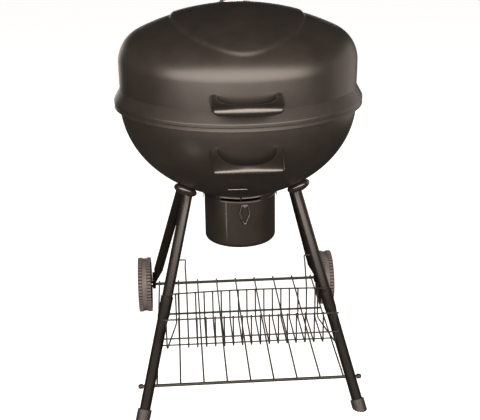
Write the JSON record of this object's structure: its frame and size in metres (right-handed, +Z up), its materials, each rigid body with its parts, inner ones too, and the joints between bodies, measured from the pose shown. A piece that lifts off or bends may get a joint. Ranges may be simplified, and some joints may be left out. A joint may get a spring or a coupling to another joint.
{
  "type": "kettle charcoal grill",
  "caption": "Kettle charcoal grill with a hinged domed lid, grates, ash sweeper and can, on splayed tube legs with wheels, a wire shelf and a hanging wire basket.",
  "frame": {"origin": "on the ground, under the kettle's axis", "axes": "+Z up along the kettle's axis, -Y to the front where the handles are, +X to the right of someone facing the grill"},
  "size_m": [0.6, 0.6944, 0.9147],
  "materials": {
    "enamel": "satin",
    "handle_plastic": "satin",
    "leg_paint": "gloss",
    "socket_gloss": "gloss",
    "foot_plastic": "matt",
    "wheel_plastic": "matt",
    "wire": "satin",
    "bright_steel": "zinc plated",
    "grate_steel": "plated rod"
  },
  "bodies": {
    "stand": {"ash_can_clips": "enamel", "ash_can_collar": "enamel", "axle": "wire", "axle_caps": "bright_steel", "axle_washers": "bright_steel", "bowl_handle": "handle_plastic", "bowl_handle_screws": "bright_steel", "bowl_shell": "enamel", "charcoal_grate_brackets": "grate_steel", "cooking_grate_brackets": "grate_steel", "front_left_leg_socket": "socket_gloss", "front_left_lower_leg": "leg_paint", "front_left_upper_leg": "leg_paint", "front_right_leg_socket": "socket_gloss", "front_right_lower_leg": "leg_paint", "front_right_upper_leg": "leg_paint", "hinge_bracket": "bright_steel", "hinge_bracket_rivets": "bright_steel", "hinge_pin": "bright_steel", "left_foot_cap": "foot_plastic", "leg_sleeve_screws": "bright_steel", "leg_socket_bolts": "bright_steel", "rear_left_leg": "leg_paint", "rear_left_leg_socket": "socket_gloss", "rear_right_leg": "leg_paint", "rear_right_leg_socket": "socket_gloss", "right_foot_cap": "foot_plastic", "shelf_front_rod": "wire", "shelf_grid": "wire", "shelf_rod_nuts": "bright_steel"},
    "lid": {"lid_shell": "enamel", "lid_handle": "handle_plastic", "lid_handle_screws": "bright_steel", "lid_hinge_leaf": "bright_steel", "lid_hinge_rivets": "bright_steel", "lid_vent_rivet": "bright_steel"},
    "lid_damper": {"lid_damper": "bright_steel"},
    "sweeper": {"ash_sweeper": "bright_steel", "sweeper_lever": "bright_steel", "sweeper_nut": "bright_steel"},
    "ash_can": {"ash_can": "enamel", "ash_can_ring_bracket": "bright_steel"},
    "pull_ring": {"ash_can_pull_ring": "bright_steel"},
    "cooking_grate": {"cooking_grate": "grate_steel", "cooking_grate_handles": "grate_steel"},
    "charcoal_grate": {"charcoal_grate": "grate_steel"},
    "basket": {"basket": "wire"},
    "left_wheel": {"left_wheel": "wheel_plastic"},
    "right_wheel": {"right_wheel": "wheel_plastic"}
  },
  "joints": [
    {"name": "lid_hinge", "type": "hinge", "parent": "stand", "child": "lid", "pos_m": [0, 0.318, 0.695], "axis": [-1, 0, 0], "range_deg": [0, 80]},
    {"name": "lid_vent_turn", "type": "hinge", "parent": "lid", "child": "lid_damper", "pos_m": [0, 0.12, 0.89711], "axis": [0, 0.2124, 0.9772], "range_deg": [0, 45]},
    {"name": "sweeper_swing", "type": "hinge", "parent": "stand", "child": "sweeper", "pos_m": [0, 0, 0.447], "axis": [0, 0, 1], "range_deg": [-30, 30]},
    {"name": "ash_can_drop", "type": "slide", "parent": "stand", "child": "ash_can", "axis": [0, 0, -1], "range_m": [0, 0.1]},
    {"name": "pull_ring_swing", "type": "hinge", "parent": "ash_can", "child": "pull_ring", "pos_m": [0.006, -0.0935, 0.4365], "axis": [-1, 0, 0], "range_deg": [0, 85]},
    {"name": "cooking_grate_lift", "type": "slide", "parent": "stand", "child": "cooking_grate", "axis": [0, 0, 1], "range_m": [0, 0.1]},
    {"name": "charcoal_grate_lift", "type": "slide", "parent": "stand", "child": "charcoal_grate", "axis": [0, 0, 1], "range_m": [0, 0.05]},
    {"name": "basket_swing", "type": "hinge", "parent": "stand", "child": "basket", "pos_m": [0, -0.16132, 0.328], "axis": [-1, 0, 0], "range_deg": [0, 35]},
    {"name": "left_wheel_spin", "type": "hinge", "parent": "stand", "child": "left_wheel", "pos_m": [-0.261, 0.266, 0.078], "axis": [1, 0, 0], "continuous": true},
    {"name": "right_wheel_spin", "type": "hinge", "parent": "stand", "child": "right_wheel", "pos_m": [0.261, 0.266, 0.078], "axis": [1, 0, 0], "continuous": true}
  ]
}
